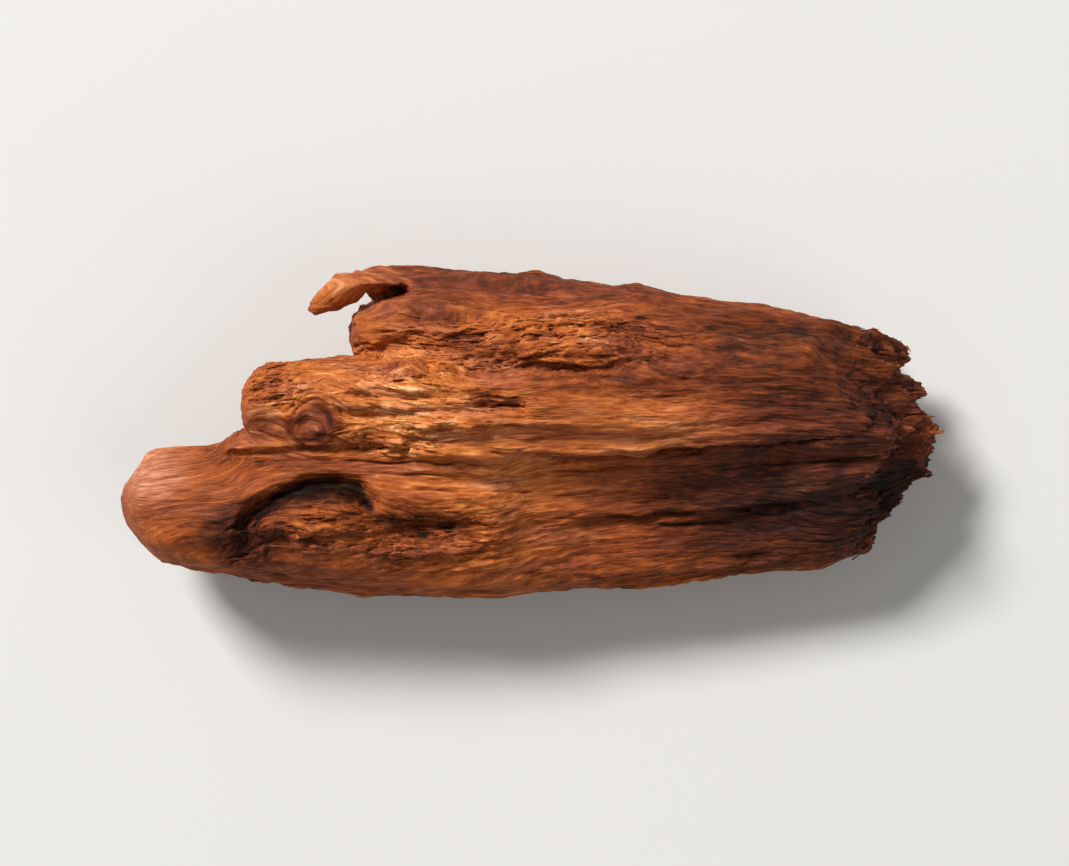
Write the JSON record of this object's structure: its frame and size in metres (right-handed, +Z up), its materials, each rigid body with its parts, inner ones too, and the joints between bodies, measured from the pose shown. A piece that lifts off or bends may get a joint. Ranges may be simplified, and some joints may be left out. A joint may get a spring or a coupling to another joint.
{
  "type": "agarwood piece",
  "caption": "Rough chunk of resinous agarwood with a rounded end, a knot, torn ledges and a broken end, burned as incense.",
  "frame": {"origin": "centre of the box around the piece, at the height of the flat patch it rests on", "axes": "+X along the grain, from the rounded end to the broken end; +Y across the grain, towards the curled splinter; +Z up"},
  "size_m": [0.0718, 0.029, 0.0198],
  "materials": {
    "agarwood": "rough, slightly oily"
  },
  "bodies": {
    "root": {"agarwood_piece": "agarwood"}
  },
  "joints": []
}
